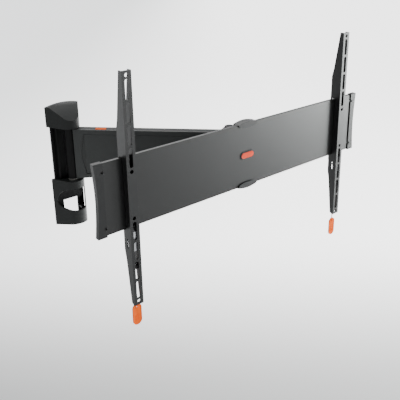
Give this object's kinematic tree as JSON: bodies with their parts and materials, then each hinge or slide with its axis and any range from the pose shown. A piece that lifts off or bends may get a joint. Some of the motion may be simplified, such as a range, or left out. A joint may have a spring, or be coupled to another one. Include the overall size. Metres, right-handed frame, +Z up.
{
  "type": "full motion tv wall mount",
  "caption": "Single-arm wall mount for a flat screen: wall column with plastic covers, tapered swinging arm, swivelling and tilting cross bar, and hook-on screen brackets with spring latches.",
  "frame": {"origin": "on the wall face of the wall plate, on the column's centre line, at the height of the arm's middle", "axes": "+X along the wall and along the cross bar, +Y into the wall, +Z up"},
  "size_m": [0.658, 0.2732, 0.471],
  "materials": {
    "column_steel": "satin black powder coat",
    "pin_steel": "turned steel",
    "zinc": "zinc plated",
    "cover_plastic": "fine moulded texture",
    "arm_plastic": "satin moulded",
    "bar_paint": "satin charcoal powder coat",
    "bracket_paint": "satin charcoal powder coat",
    "cap_plastic": "satin moulded",
    "bush_nylon": "natural nylon",
    "orange_plastic": "satin moulded",
    "badge_coral": "gloss",
    "cord": "braided cord"
  },
  "bodies": {
    "wall_unit": {"wall_plate": "column_steel", "pivot_pin": "pin_steel", "pivot_washer": "column_steel", "pivot_nut": "column_steel", "top_cap": "cover_plastic", "bottom_cover": "cover_plastic", "cable_cover": "cover_plastic", "cover_screws": "column_steel"},
    "arm": {"arm_hub": "column_steel", "upper_bush": "bush_nylon", "lower_bush": "bush_nylon", "arm_beam": "column_steel", "arm_side_cover": "arm_plastic", "arm_cable_cover": "arm_plastic", "arm_top_insert": "orange_plastic", "arm_swivel_hub": "column_steel", "swivel_bushes": "bush_nylon"},
    "head": {"head_bracket": "column_steel", "swivel_pin": "column_steel", "swivel_nut": "zinc", "tilt_axle": "pin_steel", "tilt_washers": "zinc", "tilt_nuts": "zinc"},
    "bar": {"bar_panel": "bar_paint", "bar_back_plate": "column_steel", "tilt_lugs": "column_steel", "plate_rivets": "column_steel", "end_cap_left": "cap_plastic", "end_cap_right": "cap_plastic", "end_cap_screws": "column_steel", "centre_clip_top": "cap_plastic", "centre_clip_bottom": "cap_plastic", "badge_bezel": "cap_plastic", "badge": "badge_coral"},
    "bracket_left": {"bracket_left": "bracket_paint", "spring_seat_left": "column_steel", "latch_spring_left": "pin_steel"},
    "bracket_right": {"bracket_right": "bracket_paint", "spring_seat_right": "column_steel", "latch_spring_right": "pin_steel"},
    "latch_left": {"latch_left": "zinc", "latch_pin_left": "pin_steel", "pull_cord_left": "cord", "pull_tag_left": "orange_plastic"},
    "latch_right": {"latch_right": "zinc", "latch_pin_right": "pin_steel", "pull_cord_right": "cord", "pull_tag_right": "orange_plastic"}
  },
  "joints": [
    {"name": "arm_swing", "type": "hinge", "parent": "wall_unit", "child": "arm", "pos_m": [0, -0.026, 0], "axis": [0, 0, 1], "range_deg": [-64, 36]},
    {"name": "bar_swivel", "type": "hinge", "parent": "arm", "child": "head", "pos_m": [0.25079, -0.20821, 0], "axis": [0, 0, 1], "range_deg": [-36, 64]},
    {"name": "tilt", "type": "hinge", "parent": "head", "child": "bar", "pos_m": [0.25079, -0.24521, 0], "axis": [1, 0, 0], "range_deg": [0, 12]},
    {"name": "bracket_left_slide", "type": "slide", "parent": "bar", "child": "bracket_left", "axis": [1, 0, 0], "range_m": [-0.009, 0.15]},
    {"name": "bracket_right_slide", "type": "slide", "parent": "bar", "child": "bracket_right", "axis": [1, 0, 0], "range_m": [-0.15, 0.009]},
    {"name": "latch_left_pull", "type": "slide", "parent": "bracket_left", "child": "latch_left", "axis": [0, 0, -1], "range_m": [0, 0.008], "stiffness_N_per_m": 500, "springref_m": -0.006, "deforming": ["latch_spring_left"]},
    {"name": "latch_right_pull", "type": "slide", "parent": "bracket_right", "child": "latch_right", "axis": [0, 0, -1], "range_m": [0, 0.008], "stiffness_N_per_m": 500, "springref_m": -0.006, "deforming": ["latch_spring_right"]}
  ]
}
